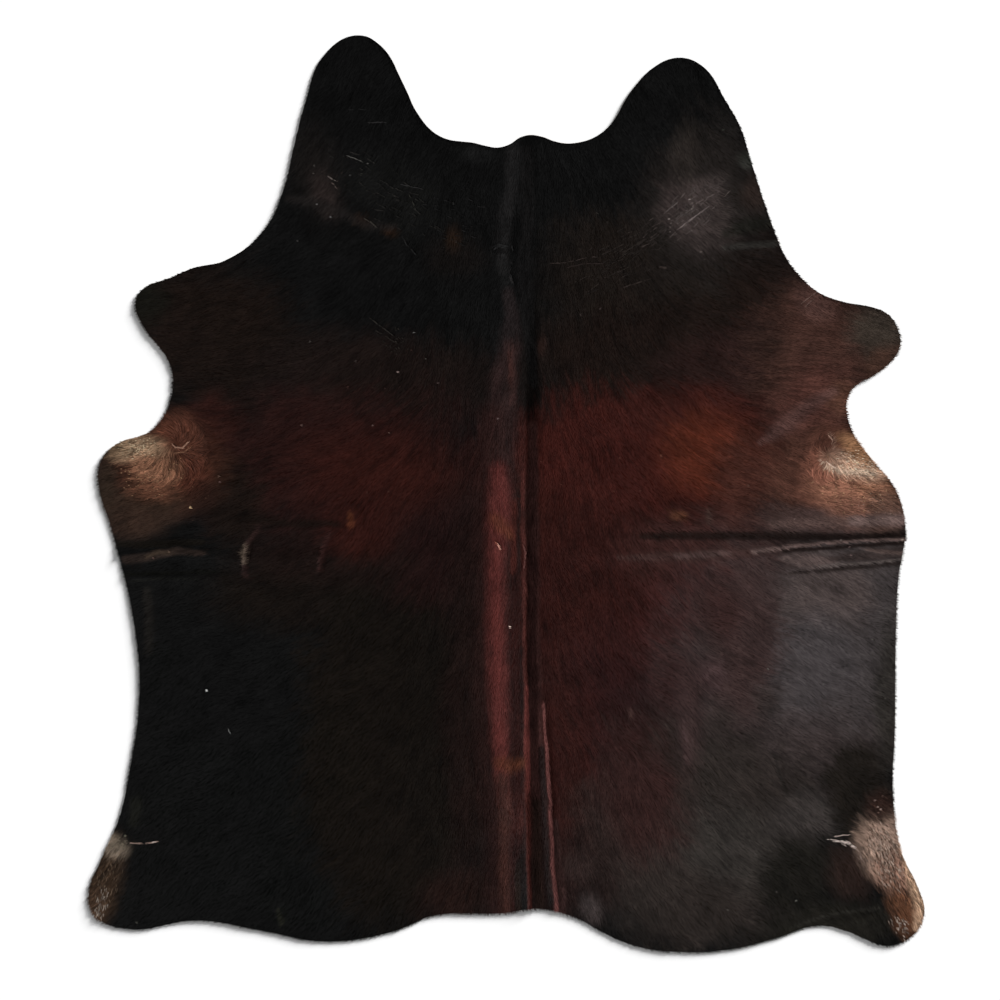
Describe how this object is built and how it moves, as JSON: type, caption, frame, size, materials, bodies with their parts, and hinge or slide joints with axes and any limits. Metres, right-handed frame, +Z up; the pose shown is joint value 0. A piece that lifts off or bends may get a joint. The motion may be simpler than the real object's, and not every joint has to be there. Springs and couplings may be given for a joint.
{
  "type": "cowhide rug",
  "caption": "Whole hair-on cowhide laid flat as a rug, in very dark brown, with neck, leg and rump lobes and soft fold ridges along the spine and across the middle.",
  "frame": {"origin": "middle of the hide's bounding box, on the floor it lies on", "axes": "+Z up from the floor, +Y along the spine to the neck, +X to the animal's right as seen from above with the neck away from the viewer"},
  "size_m": [1.914, 2.1, 0.0189],
  "materials": {
    "hair_on_hide": "short glossy hair, near-black to reddish brown, paler at the flanks and legs"
  },
  "bodies": {
    "root": {"hide": "hair_on_hide"}
  },
  "joints": []
}
